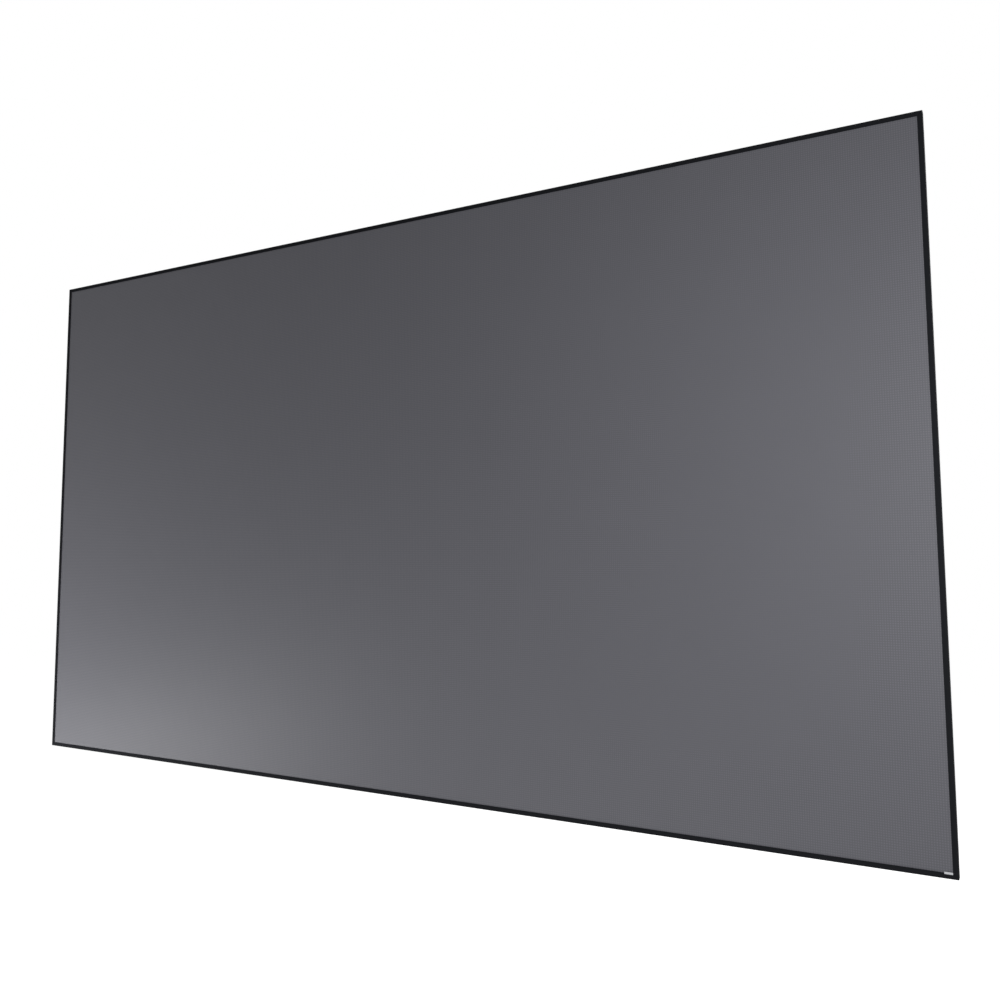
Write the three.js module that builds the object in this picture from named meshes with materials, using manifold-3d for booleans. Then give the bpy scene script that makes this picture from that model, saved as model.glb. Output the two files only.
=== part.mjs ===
// A fixed frame projector screen: a 100 inch, 16:9 grey screen cloth stretched over an aluminium frame,
// with a thin black bezel snapped over its edge, hung on two steel wall brackets.
//
// All sizes are millimetres. X runs to the viewer's right, Z runs up, and Y runs from the front of the
// screen back to the wall. The origin is the centre of the whole object's box.
//
// Every side is drawn in the frame of that side: x runs along it, z runs outwards and y runs back. A cross
// section is drawn in u and v: u is the distance in from the outer face of the frame bar, so z is -u, and
// v is the depth behind the front face of the cloth, so y is v.
import * as THREE from "three";
import { mergeVertices } from "three/addons/utils/BufferGeometryUtils.js";
import Module from "manifold-3d";

const wasm = await Module();
wasm.setup();

// Picture area and bezel
const VIEW_WIDTH = 2214;
const VIEW_HEIGHT = 1245;
const BEZEL_FACE = 8.5;

// Clearances and sheet thicknesses
const SEAT_GAP = 0.3;
const TAPE = 0.1;
const CLOTH = 0.5;

// How far solids that are joined run into each other, and cutters run past what they cut
const OVERLAP = 1;

// Points closer than this are one point
const SAME_POINT = 1e-4;

// Bezel trim: an L of thin aluminium whose barb presses the cloth into a groove in the frame bar
const TRIM_WALL = 1.2;
const TRIM_BARB = 1.6;
const GROOVE_START = 9.1;
const GROOVE_DEPTH = 1.7;

// Frame bar: one extrusion for all four sides
const BAR_WALL = 1.8;
const BAR_WEB = 1.6;
const NOSE_RADIUS = 2.5;
const LAND_FLAT = 3.5;
const LAND_FALL = 4.7;
const FLOOR_V = 24;
const WALL_PAST_ROD = 0.9;
const RIM_PAST_HEM = 2.1;
const RIM_LIP = 1.6;
const FLANGE_REACH = 8;
const FLANGE_THICKNESS = 2.4;
const SLOT_INSET = 3.9;
const SLOT_MOUTH = 12;
const SLOT_WIDTH = 18;
const SLOT_DEPTH = 4.4;
const RIB_PAST_SLOT = 3;
const RIB_BEAD = 0.8;
const RIB_BEAD_HEIGHT = 1.2;
const FACE_PAST_RIB = 10;

// Tension rods in the hem of the cloth, and the springs that pull them inwards
const ROD_RADIUS = 2;
const ROD_SIDES = 8;
const ROD_SHORTER = 2;
const HEM_SIDES = 6;
const HEM_INSET = 4.9;
const HEM_CORNER_GAP = 7.7;
const NOTCH_MARGIN = 3;
const SPRING_PITCH = 140;
const SPRING_END = 63;
const COIL_RADIUS = 3;
const COIL_SIDES = 6;
const COIL_FROM_ROD = 4.5;
const COIL_FROM_RIB = 3;
const COIL_CLEARANCE = 2.4;
const WIRE = 1.2;
const HOOK_DROP = 3.2;

// Corner brackets, splice plates and the screws that clamp them in the slot
const PLATE_THICKNESS = 3.2;
const PLATE_END = 14;
const SCREW_PITCH = 40;
const SPLICE_SCREW_START = 26;
const CORNER_SCREW_PAST_SLOT = 17;
const SCREW_RADIUS = 2.5;
const SCREW_HEAD_WIDER = 2;
const SCREW_HEAD_HEIGHT = 2.6;
const SCREW_HEAD_LIFT = 1;
const SOCKET_RADIUS = 1.6;
const SOCKET_DEPTH = 1.5;
const SCREW_SIDES = 8;

// Centre support: a tube that keeps the long bars apart, with a moulded cap at each end
const SUPPORT_WIDTH = 24;
const SUPPORT_DEPTH = 16;
const SUPPORT_WALL = 1.2;
const SUPPORT_STEP = 3.1;
const CAP_MARGIN = 1.5;
const CAP_END = 5.7;
const CAP_TO_WALL = 0.7;
const SPIGOT_LENGTH = 18;

// Wall brackets and rubber bumpers
const BRACKET_INSET = 515;
const BRACKET_PLATE = 2;
const BRACKET_TO_RIM = 1;
const BRACKET_LEG = 44;
const BRACKET_LIP_STEP = 1.8;
const BRACKET_HOLE_EDGE = 20;
const BRACKET_HOLE_PITCH = 35;
const BRACKET_SIDE = 15;
const BRACKET_HOLE_RADIUS = 2.6;
const BUMPER_INSET = 215;
const BUMPER_LENGTH = 30;
const BUMPER_MARGIN = 0.8;

// Blank badge astride the inner edge of the bottom bezel, at the right-hand corner of the picture
const BADGE_LENGTH = 12.6;
const BADGE_THICKNESS = 0.6;
const BADGE_ON_LIP = 1.4;
const BADGE_OVER_CLOTH = 2;

// Steps in each rounded corner of a cross section
const ARC_STEPS = 4;

// Sizes worked out from those above
const STACK = TRIM_WALL + SEAT_GAP + CLOTH + SEAT_GAP;
const LIP_FRONT_V = -SEAT_GAP - TRIM_WALL;
const LAND_V = CLOTH + SEAT_GAP;
const LAND_WIDTH = NOSE_RADIUS + LAND_FLAT;
const FRAME_WIDTH = VIEW_WIDTH + 2 * (BEZEL_FACE - STACK);
const FRAME_HEIGHT = VIEW_HEIGHT + 2 * (BEZEL_FACE - STACK);
const GROOVE_END = GROOVE_START + TRIM_BARB + 2 * (CLOTH + 2 * SEAT_GAP);
const BOX_WALL = GROOVE_DEPTH + BAR_WALL;
const SLOT_U = BOX_WALL + BAR_WEB + SLOT_INSET + SLOT_WIDTH / 2;
const SLOT_FRONT_V = FLOOR_V - BAR_WEB - SLOT_DEPTH;
const PLATE_BACK_V = FLOOR_V - BAR_WEB - SEAT_GAP;
const PLATE_HALF = SLOT_WIDTH / 2 - SEAT_GAP;
const SCREW_NECK_V = PLATE_BACK_V + SCREW_HEAD_LIFT;
const SCREW_TOP_V = SCREW_NECK_V + SCREW_HEAD_HEIGHT;
const ROD_V = SCREW_TOP_V + COIL_CLEARANCE + COIL_RADIUS;
const HEM_BORE = ROD_RADIUS + SEAT_GAP;
const HEM_RADIUS = HEM_BORE + CLOTH;
const ROD_U = BAR_WALL + HEM_INSET + HEM_RADIUS;
const HEM_END = ROD_U + HEM_RADIUS + HEM_CORNER_GAP;
const ROD_END = HEM_END + ROD_SHORTER;
const RIB_U = SLOT_U + SLOT_WIDTH / 2 + RIB_PAST_SLOT;
const RIB_TOP_V = ROD_V - WIRE / 2 - SEAT_GAP;
const BAR_WIDTH = RIB_U + FACE_PAST_RIB;
const OUTER_WALL_V = ROD_V + WALL_PAST_ROD;
const RIM_V = ROD_V + HEM_RADIUS + RIM_PAST_HEM;
const FLANGE_FRONT_V = RIM_V - FLANGE_THICKNESS;
const FLANGE_TIP_U = BAR_WIDTH + FLANGE_REACH;
const RIM_START_U = BAR_WIDTH - 2 * BAR_WALL;
const WALL_V = RIM_V + BRACKET_TO_RIM + BRACKET_PLATE;
const MIDDLE_V = (LIP_FRONT_V - TAPE - BADGE_THICKNESS + WALL_V) / 2;
const CORNER_SCREW_START = SLOT_U + SLOT_WIDTH / 2 + CORNER_SCREW_PAST_SLOT;
const CORNER_LEG = CORNER_SCREW_START + SCREW_PITCH + PLATE_END;
const SPLICE_HALF = SPLICE_SCREW_START + SCREW_PITCH + PLATE_END;
const CORNER_SCREWS = [CORNER_SCREW_START, CORNER_SCREW_START + SCREW_PITCH];
const SPLICE_SCREWS = [SPLICE_SCREW_START, SPLICE_SCREW_START + SCREW_PITCH];
const SUPPORT_BACK_V = FLANGE_FRONT_V - SUPPORT_STEP;
const SUPPORT_FRONT_V = SUPPORT_BACK_V - SUPPORT_DEPTH;
const CAP_END_U = FLANGE_TIP_U + SEAT_GAP + CAP_END;

// Finishes
const metal = (color, roughness) => new THREE.MeshStandardMaterial({ color, roughness, metalness: 0.9 });
const matt = (color, roughness) => new THREE.MeshStandardMaterial({ color, roughness, metalness: 0 });
const FINISH = {
  cloth: matt(0x626267, 0.55),
  trim: matt(0x1e1f22, 0.55),
  bar: metal(0x202124, 0.5),
  zinc: metal(0xb4b8bb, 0.4),
  screw: metal(0x2c2d30, 0.45),
  rod: matt(0xdcdcd6, 0.4),
  tube: metal(0xa6a8ab, 0.4),
  cap: matt(0x17181a, 0.6),
  rubber: matt(0x141414, 0.85),
  badge: metal(0xc8c9cc, 0.35),
};

// The four sides. turn is the side's turn about Y, half is half its length and out is its distance from
// the middle of the screen. A long side is made of two runs that meet in the middle.
const LONG = { half: FRAME_WIDTH / 2, out: FRAME_HEIGHT / 2 };
const SHORT = { half: FRAME_HEIGHT / 2, out: FRAME_WIDTH / 2 };
const SIDES = [
  { ...LONG, name: "top", turn: 0, runs: ["top_left", "top_right"] },
  { ...SHORT, name: "right", turn: Math.PI / 2, runs: ["right"] },
  { ...LONG, name: "bottom", turn: Math.PI, runs: ["bottom_right", "bottom_left"] },
  { ...SHORT, name: "left", turn: -Math.PI / 2, runs: ["left"] },
];
const CORNERS = { top: "top_right", right: "bottom_right", bottom: "bottom_left", left: "top_left" };

function mesh(name, geometry, material) {
  const made = new THREE.Mesh(geometry, material);
  made.name = name;
  return made;
}

function sideGroup(side) {
  const group = new THREE.Group();
  group.rotation.y = side.turn;
  group.position.set(side.out * Math.sin(side.turn), 0, side.out * Math.cos(side.turn));
  group.updateMatrix();
  return group;
}

// Solids for cutting and joining
function solid(geometry) {
  const bare = new THREE.BufferGeometry().setAttribute("position", geometry.getAttribute("position"));
  bare.setIndex(geometry.index);
  const merged = mergeVertices(bare, SAME_POINT);
  const triVerts = new Uint32Array(merged.index.array);
  const vertProperties = new Float32Array(merged.attributes.position.array);
  return new wasm.Manifold(new wasm.Mesh({ numProp: 3, vertProperties, triVerts }));
}

function geometryOf(made) {
  const { numProp, numVert, vertProperties, triVerts } = made.getMesh();
  const positions = new Float32Array(numVert * 3);
  for (let i = 0; i < numVert; i++) {
    positions.set(vertProperties.subarray(i * numProp, i * numProp + 3), i * 3);
  }
  const geometry = new THREE.BufferGeometry();
  geometry.setAttribute("position", new THREE.BufferAttribute(positions, 3));
  geometry.setIndex(new THREE.BufferAttribute(new Uint32Array(triVerts), 1));
  return geometry;
}

const joined = (geometries) => geometries.map(solid).reduce((whole, next) => whole.add(next));
const cut = (whole, geometries) => geometries.map(solid).reduce((rest, next) => rest.subtract(next), whole);

// A box between two corners, given as [x, y, z]
function boxBetween(low, high) {
  const [width, depth, height] = high.map((value, axis) => value - low[axis]);
  const box = new THREE.BoxGeometry(width, depth, height);
  return box.translate(low[0] + width / 2, low[1] + depth / 2, low[2] + height / 2);
}

// Points of a round stretch in u and v, about a centre
function arc(centreU, centreV, radius, fromDegrees, toDegrees, steps) {
  return Array.from({ length: steps + 1 }, (_, i) => {
    const angle = THREE.MathUtils.degToRad(fromDegrees + ((toDegrees - fromDegrees) * i) / steps);
    return [centreU + radius * Math.cos(angle), centreV + radius * Math.sin(angle)];
  });
}

// A regular outline whose flats touch a circle of the given radius, with a flat towards +v
function flatRound(centreU, centreV, radius, sides) {
  const step = 360 / sides;
  const toVertex = radius / Math.cos(Math.PI / sides);
  return arc(centreU, centreV, toVertex, 90 + step / 2, 450 - step / 2, sides - 1);
}

// The outline of a strip of even thickness that follows a bent line
function strip(line, thickness) {
  const points = line.map(([u, v]) => new THREE.Vector2(u, v));
  const along = (i) => points[i + 1].clone().sub(points[i]).normalize();
  const across = (direction) => new THREE.Vector2(-direction.y, direction.x);
  const offsets = points.map((_, i) => {
    const before = across(along(Math.max(i - 1, 0)));
    const after = across(along(Math.min(i, points.length - 2)));
    const middle = before.clone().add(after).normalize();
    return middle.multiplyScalar(thickness / 2 / middle.dot(after));
  });
  const left = points.map((point, i) => point.clone().add(offsets[i]).toArray());
  const right = points.map((point, i) => point.clone().sub(offsets[i]).toArray());
  return [...left, ...right.reverse()];
}

// A cross section carried along a side from one end to the other. An end is { at, mitre }: at is its x on
// the outer face of the bar, and mitre is how far it moves in x for each millimetre in.
function carried(outline, holes, start, end) {
  const shape = new THREE.Shape(outline.map(([u, v]) => new THREE.Vector2(u, v)));
  shape.holes = holes.map((hole) => new THREE.Path(hole.map(([u, v]) => new THREE.Vector2(u, v))));
  const geometry = new THREE.ExtrudeGeometry(shape, { depth: 1, bevelEnabled: false });
  const position = geometry.getAttribute("position");
  for (let i = 0; i < position.count; i++) {
    const stop = position.getZ(i) === 0 ? start : end;
    position.setZ(i, stop.at + stop.mitre * position.getX(i));
  }
  return geometry.rotateY(Math.PI / 2);
}

const square = (at) => ({ at, mitre: 0 });

// The ends of each run of a side: mitred at the corners, square where two runs meet
function runEnds(side) {
  const corner = side.half - (SEAT_GAP * Math.SQRT2) / 2;
  const first = { at: -corner, mitre: 1 };
  const last = { at: corner, mitre: -1 };
  const middle = [square(-SEAT_GAP / 2), square(SEAT_GAP / 2)];
  return side.runs.length === 1 ? [[first, last]] : [[first, middle[0]], [middle[1], last]];
}

// Frame bar: a box behind the cloth, an outer wall that the cloth wraps over, a slot for the brackets, a
// rib for the spring hooks, and a rim with the flange that hangs on the wall brackets
function barOutline() {
  const slotStart = SLOT_U - SLOT_WIDTH / 2;
  const slotEnd = SLOT_U + SLOT_WIDTH / 2;
  const mouthStart = SLOT_U - SLOT_MOUTH / 2;
  const mouthEnd = SLOT_U + SLOT_MOUTH / 2;
  const slotBack = FLOOR_V - BAR_WEB;
  const ribEnd = RIB_U + BAR_WEB;
  const beadFront = RIB_TOP_V - RIB_BEAD_HEIGHT;
  const tip = BAR_WALL / 2;
  return [
    ...arc(NOSE_RADIUS, LAND_V + NOSE_RADIUS, NOSE_RADIUS, 180, 270, ARC_STEPS),
    [LAND_WIDTH, LAND_V],
    [BAR_WIDTH, LAND_V + LAND_FALL],
    [BAR_WIDTH, FLANGE_FRONT_V],
    [FLANGE_TIP_U, FLANGE_FRONT_V],
    [FLANGE_TIP_U, RIM_V],
    [RIM_START_U, RIM_V],
    [RIM_START_U, RIM_V - RIM_LIP],
    [BAR_WIDTH - BAR_WALL, RIM_V - RIM_LIP],
    [BAR_WIDTH - BAR_WALL, FLOOR_V],
    [ribEnd, FLOOR_V],
    [ribEnd, beadFront],
    [ribEnd + RIB_BEAD, beadFront],
    [ribEnd + RIB_BEAD, RIB_TOP_V],
    [RIB_U, RIB_TOP_V],
    [RIB_U, FLOOR_V],
    [mouthEnd, FLOOR_V],
    [mouthEnd, slotBack],
    [slotEnd, slotBack],
    [slotEnd, SLOT_FRONT_V],
    [slotStart, SLOT_FRONT_V],
    [slotStart, slotBack],
    [mouthStart, slotBack],
    [mouthStart, FLOOR_V],
    [BAR_WALL, FLOOR_V],
    ...arc(tip, OUTER_WALL_V - tip, tip, 0, 180, ARC_STEPS),
    [0, GROOVE_END],
    [GROOVE_DEPTH, GROOVE_END],
    [GROOVE_DEPTH, GROOVE_START],
    [0, GROOVE_START],
  ];
}

// The hollow of the bar, between its front wall and the walls of the slot
function barHollow() {
  const slotStart = SLOT_U - SLOT_WIDTH / 2 - BAR_WEB;
  const slotEnd = SLOT_U + SLOT_WIDTH / 2 + BAR_WEB;
  const inner = BAR_WIDTH - BAR_WALL;
  const slope = LAND_FALL / (BAR_WIDTH - LAND_WIDTH);
  const front = LAND_V + BAR_WALL;
  const back = FLOOR_V - BAR_WEB;
  const underSlot = SLOT_FRONT_V - BAR_WEB;
  return [
    [BOX_WALL, front],
    [LAND_WIDTH, front],
    [inner, front + slope * (inner - LAND_WIDTH)],
    [inner, back],
    [slotEnd, back],
    [slotEnd, underSlot],
    [slotStart, underSlot],
    [slotStart, back],
    [BOX_WALL, back],
  ];
}

// Bezel trim: the lip in front of the cloth, the leg outside it and the barb in the groove
function trimOutline() {
  const legInside = CLOTH + 2 * SEAT_GAP;
  const barbStart = GROOVE_START + legInside;
  const barbEnd = barbStart + TRIM_BARB;
  const barbTip = GROOVE_DEPTH - legInside;
  return [
    [-STACK, LIP_FRONT_V],
    [BEZEL_FACE - STACK, LIP_FRONT_V],
    [BEZEL_FACE - STACK, -SEAT_GAP],
    [-legInside, -SEAT_GAP],
    [-legInside, barbStart],
    [barbTip, barbStart],
    [barbTip, barbEnd],
    [-STACK, barbEnd],
  ];
}

// The line along the middle of the cloth's thickness where it wraps round the bar: over the nose, down the
// outside, in and out of the groove under the barb, round the back edge and on to the hem
function wrapLine() {
  const stand = SEAT_GAP + CLOTH / 2;
  const tip = BAR_WALL / 2;
  return [
    [2 * NOSE_RADIUS, CLOTH / 2],
    ...arc(NOSE_RADIUS, LAND_V + NOSE_RADIUS, NOSE_RADIUS + stand, 270, 180, ARC_STEPS),
    [-stand, GROOVE_START + stand],
    [GROOVE_DEPTH - stand, GROOVE_START + stand],
    [GROOVE_DEPTH - stand, GROOVE_END - stand],
    [-stand, GROOVE_END - stand],
    ...arc(tip, OUTER_WALL_V - tip, tip + stand, 180, 90, ARC_STEPS),
    [ROD_U, ROD_V + HEM_RADIUS - CLOTH / 2],
  ];
}

// The x of each spring along a side, evenly spread, and none where two runs meet
function springPlaces(side) {
  const reach = side.half - SPRING_END;
  const runs = side.runs.length;
  const count = runs * Math.max(2, Math.round((2 * reach) / SPRING_PITCH / runs));
  return Array.from({ length: count }, (_, i) => -reach + (2 * reach * i) / (count - 1));
}

// One flap of the cloth: it wraps round the bars of a side and ends in a hem, notched at each spring
function clothFlap(side) {
  const end = side.half - HEM_END;
  const ends = [square(-end), square(end)];
  const hem = flatRound(ROD_U, ROD_V, HEM_RADIUS, HEM_SIDES);
  const bore = flatRound(ROD_U, ROD_V, HEM_BORE, HEM_SIDES);
  const flap = joined([carried(strip(wrapLine(), CLOTH), [], ...ends), carried(hem, [], ...ends)]);
  const half = COIL_RADIUS + NOTCH_MARGIN;
  const notches = springPlaces(side).map((x) =>
    boxBetween(
      [x - half, ROD_V - 2 * HEM_RADIUS, -ROD_U - 2 * HEM_RADIUS],
      [x + half, ROD_V + 2 * HEM_RADIUS, -ROD_U + HEM_RADIUS],
    ),
  );
  const through = carried(bore, [], square(-end - OVERLAP), square(end + OVERLAP));
  return geometryOf(cut(flap, [through, ...notches])).applyMatrix4(sideGroup(side).matrix);
}

// Screen cloth: the flat front with a flap along each side
function cloth() {
  const width = FRAME_WIDTH - 2 * NOSE_RADIUS;
  const height = FRAME_HEIGHT - 2 * NOSE_RADIUS;
  const front = new THREE.BoxGeometry(width, CLOTH, height).translate(0, CLOTH / 2, 0);
  return geometryOf(joined([front, ...SIDES.map(clothFlap)]));
}

// One spring, drawn as the outer shape of its coil, with the wire to the rod and the hook over the rib
function spring(x) {
  const half = WIRE / 2;
  const coilStart = ROD_U + COIL_FROM_ROD;
  const coilEnd = RIB_U - COIL_FROM_RIB;
  const hookStart = RIB_U + BAR_WEB + RIB_BEAD + SEAT_GAP;
  const hookEnd = hookStart + WIRE;
  const coil = new THREE.CylinderGeometry(COIL_RADIUS, COIL_RADIUS, coilEnd - coilStart, COIL_SIDES);
  coil.rotateX(Math.PI / 2).translate(x, ROD_V, -(coilStart + coilEnd) / 2);
  return [
    boxBetween([x - half, ROD_V - half, -coilStart - OVERLAP], [x + half, ROD_V + half, -ROD_U]),
    coil,
    boxBetween([x - half, ROD_V - half, -hookEnd], [x + half, ROD_V + half, -coilEnd + OVERLAP]),
    boxBetween([x - half, ROD_V + half - HOOK_DROP, -hookEnd], [x + half, ROD_V, -hookStart]),
  ];
}

// A tension rod with the springs hooked on it, along one run of a side
function tensionRod(side, from, to) {
  const outline = flatRound(ROD_U, ROD_V, ROD_RADIUS, ROD_SIDES);
  const rod = carried(outline, [], square(from), square(to));
  const springs = springPlaces(side).filter((x) => x > from && x < to);
  return geometryOf(joined([rod, ...springs.flatMap(spring)]));
}

function rodEnds(side) {
  const end = side.half - ROD_END;
  return side.runs.length === 1 ? [[-end, end]] : [[-end, -SEAT_GAP / 2], [SEAT_GAP / 2, end]];
}

// A flat plate in the slot, from an outline in x and z, with a clearance hole for each screw
function slotPlate(outline, screws) {
  const shape = new THREE.Shape(outline.map(([x, z]) => new THREE.Vector2(x, z)));
  const radius = SCREW_RADIUS + SEAT_GAP;
  shape.holes = screws.map(
    ([x, z]) => new THREE.Path(flatRound(x, z, radius, SCREW_SIDES).map(([a, b]) => new THREE.Vector2(a, b))),
  );
  const plate = new THREE.ExtrudeGeometry(shape, { depth: PLATE_THICKNESS, bevelEnabled: false });
  return plate.rotateX(Math.PI / 2).translate(0, PLATE_BACK_V, 0);
}

// L-shaped plate that joins a side to the next one at its +x end
function cornerBracket(side) {
  const near = SLOT_U - PLATE_HALF;
  const far = SLOT_U + PLATE_HALF;
  const outline = [
    [side.half - near, -near],
    [side.half - CORNER_LEG, -near],
    [side.half - CORNER_LEG, -far],
    [side.half - far, -far],
    [side.half - far, -CORNER_LEG],
    [side.half - near, -CORNER_LEG],
  ];
  const along = CORNER_SCREWS.map((distance) => [side.half - distance, -SLOT_U]);
  const across = CORNER_SCREWS.map((distance) => [side.half - SLOT_U, -distance]);
  return slotPlate(outline, [...along, ...across]);
}

// Straight plate that joins the two runs of a long side
function splicePlate() {
  const near = PLATE_HALF - SLOT_U;
  const far = -PLATE_HALF - SLOT_U;
  const outline = [[-SPLICE_HALF, far], [SPLICE_HALF, far], [SPLICE_HALF, near], [-SPLICE_HALF, near]];
  return slotPlate(outline, SPLICE_SCREWS.flatMap((x) => [[-x, -SLOT_U], [x, -SLOT_U]]));
}

// A clamping screw: its tip bears on the bottom of the slot and its socket head stands behind the plate
function screw() {
  const tip = SLOT_FRONT_V + SEAT_GAP;
  const head = SCREW_RADIUS + SCREW_HEAD_WIDER;
  const profile = [
    [0, tip],
    [SCREW_RADIUS, tip],
    [SCREW_RADIUS, SCREW_NECK_V],
    [head, SCREW_NECK_V],
    [head, SCREW_TOP_V],
    [SOCKET_RADIUS, SCREW_TOP_V],
    [SOCKET_RADIUS, SCREW_TOP_V - SOCKET_DEPTH],
    [0, SCREW_TOP_V - SOCKET_DEPTH],
  ];
  return new THREE.LatheGeometry(profile.map(([r, v]) => new THREE.Vector2(r, v)), SCREW_SIDES);
}

function screwAt(name, x) {
  const made = mesh(name, screw(), FINISH.screw);
  made.position.set(x, 0, -SLOT_U);
  return made;
}

// Centre support tube, drawn upright in the frame of the whole screen
function supportTube() {
  const reach = FRAME_HEIGHT / 2 - CAP_END_U - SEAT_GAP;
  const rectangle = (inset) => {
    const x = SUPPORT_WIDTH / 2 - inset;
    const front = SUPPORT_FRONT_V + inset;
    const back = SUPPORT_BACK_V - inset;
    return [[-x, front], [x, front], [x, back], [-x, back]].map(([a, b]) => new THREE.Vector2(a, b));
  };
  const shape = new THREE.Shape(rectangle(0));
  shape.holes = [new THREE.Path(rectangle(SUPPORT_WALL))];
  const tube = new THREE.ExtrudeGeometry(shape, { depth: 2 * reach, bevelEnabled: false });
  return tube.translate(0, 0, -reach);
}

// Moulded cap: its jaws grip the flange of the bar and its spigot plugs the tube
function supportCap() {
  const start = BAR_WIDTH + SEAT_GAP;
  const bottom = FLANGE_TIP_U + SEAT_GAP;
  const front = SUPPORT_FRONT_V - CAP_MARGIN;
  const back = WALL_V - CAP_TO_WALL;
  const outline = [
    [start, front],
    [CAP_END_U, front],
    [CAP_END_U, back],
    [start, back],
    [start, RIM_V + SEAT_GAP],
    [bottom, RIM_V + SEAT_GAP],
    [bottom, FLANGE_FRONT_V - SEAT_GAP],
    [start, FLANGE_FRONT_V - SEAT_GAP],
  ];
  const half = SUPPORT_WIDTH / 2 + CAP_MARGIN;
  const inset = SUPPORT_WALL + SEAT_GAP;
  const body = carried(outline, [], square(-half), square(half));
  const spigot = boxBetween(
    [inset - SUPPORT_WIDTH / 2, SUPPORT_FRONT_V + inset, -CAP_END_U - SPIGOT_LENGTH],
    [SUPPORT_WIDTH / 2 - inset, SUPPORT_BACK_V - inset, -CAP_END_U + OVERLAP],
  );
  return geometryOf(joined([body, spigot]));
}

// Wall bracket: a leg screwed to the wall, a ledge under the flange and a lip in front of it
function wallBracket() {
  const half = BRACKET_PLATE / 2;
  const width = BRACKET_HOLE_PITCH + BRACKET_SIDE;
  const ledge = FLANGE_TIP_U + SEAT_GAP + half;
  const lip = FLANGE_FRONT_V - 2 * SEAT_GAP - half;
  const leg = WALL_V - half;
  const line = [[BAR_WIDTH + BRACKET_LIP_STEP, lip], [ledge, lip], [ledge, leg], [ledge + BRACKET_LEG, leg]];
  const plate = carried(strip(line, BRACKET_PLATE), [], square(-width), square(width));
  const hole = ledge + BRACKET_LEG - BRACKET_HOLE_EDGE;
  const drill = [-1, 0, 1].map((place) => {
    const pin = new THREE.CylinderGeometry(
      BRACKET_HOLE_RADIUS, BRACKET_HOLE_RADIUS, BRACKET_PLATE + 2 * OVERLAP, SCREW_SIDES,
    );
    return pin.translate(place * BRACKET_HOLE_PITCH, leg, -hole);
  });
  return geometryOf(cut(solid(plate), drill));
}

// Rubber pad between the rim of the bottom bar and the wall
function bumper() {
  return boxBetween(
    [-BUMPER_LENGTH / 2, RIM_V + SEAT_GAP, BUMPER_MARGIN - FLANGE_TIP_U],
    [BUMPER_LENGTH / 2, WALL_V, -RIM_START_U - BUMPER_MARGIN],
  );
}

// Badge on the bottom bezel: a thin plate on the lip, with a foot beside the lip that reaches back to the
// cloth. In the bottom side's frame the viewer's right is -x.
function badge() {
  const right = -VIEW_WIDTH / 2;
  const edge = BEZEL_FACE - STACK;
  const back = LIP_FRONT_V - TAPE;
  const front = back - BADGE_THICKNESS;
  const outline = [
    [edge - BADGE_ON_LIP, front],
    [edge + BADGE_OVER_CLOTH, front],
    [edge + BADGE_OVER_CLOTH, -SEAT_GAP],
    [edge + TAPE, -SEAT_GAP],
    [edge + TAPE, back],
    [edge - BADGE_ON_LIP, back],
  ];
  return carried(outline, [], square(right), square(right + BADGE_LENGTH));
}

// One side with its runs of bar, trim and tension rod, and the bracket and screws of the corner at its end
function buildSide(side) {
  const group = sideGroup(side);
  const rods = rodEnds(side);
  runEnds(side).forEach((ends, i) => {
    const run = side.runs[i];
    group.add(
      mesh(`frame_bar_${run}`, carried(barOutline(), [barHollow()], ...ends), FINISH.bar),
      mesh(`bezel_trim_${run}`, carried(trimOutline(), [], ...ends), FINISH.trim),
      mesh(`tension_rod_${run}`, tensionRod(side, ...rods[i]), FINISH.rod),
    );
  });
  group.add(mesh(`corner_bracket_${CORNERS[side.name]}`, cornerBracket(side), FINISH.zinc));
  CORNER_SCREWS.forEach((distance, i) => {
    group.add(screwAt(`corner_screw_${side.name}_start_${i + 1}`, distance - side.half));
    group.add(screwAt(`corner_screw_${side.name}_end_${i + 1}`, side.half - distance));
  });
  if (side.runs.length === 2) {
    group.add(mesh(`splice_plate_${side.name}`, splicePlate(), FINISH.zinc));
    SPLICE_SCREWS.forEach((x, i) => {
      group.add(screwAt(`splice_screw_${side.name}_start_${i + 1}`, -x));
      group.add(screwAt(`splice_screw_${side.name}_end_${i + 1}`, x));
    });
    group.add(mesh(`support_cap_${side.name}`, supportCap(), FINISH.cap));
  }
  return group;
}

function placed(made, x) {
  made.position.x = x;
  return made;
}

const [top, right, bottom, left] = SIDES.map(buildSide);
const bracketX = FRAME_WIDTH / 2 - BRACKET_INSET;
const bumperX = FRAME_WIDTH / 2 - BUMPER_INSET;
top.add(
  placed(mesh("wall_bracket_left", wallBracket(), FINISH.zinc), -bracketX),
  placed(mesh("wall_bracket_right", wallBracket(), FINISH.zinc), bracketX),
);
bottom.add(
  placed(mesh("wall_bumper_right", bumper(), FINISH.rubber), -bumperX),
  placed(mesh("wall_bumper_left", bumper(), FINISH.rubber), bumperX),
  mesh("corner_badge", badge(), FINISH.badge),
);

const screen = new THREE.Group();
screen.position.y = -MIDDLE_V;
screen.add(mesh("screen_cloth", cloth(), FINISH.cloth));
screen.add(mesh("centre_support", supportTube(), FINISH.tube));
screen.add(top, right, bottom, left);

const root = new THREE.Group();
root.add(screen);

export default root;
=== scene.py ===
"""Looks of a fixed frame projector screen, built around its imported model.

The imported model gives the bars, trims, brackets, plates, caps and pads, which are dressed where they are.
The cloth, the tension rods, the springs and the screws are made here as surfaces worked out with numpy, in
the space that their plain solids hold.

Lengths that describe a cross section are millimetres and end in _mm. Other lengths are metres, and angles
are degrees.
"""

from __future__ import annotations

import logging
import math
from collections.abc import Sequence
from dataclasses import dataclass, field
from enum import Enum

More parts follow.
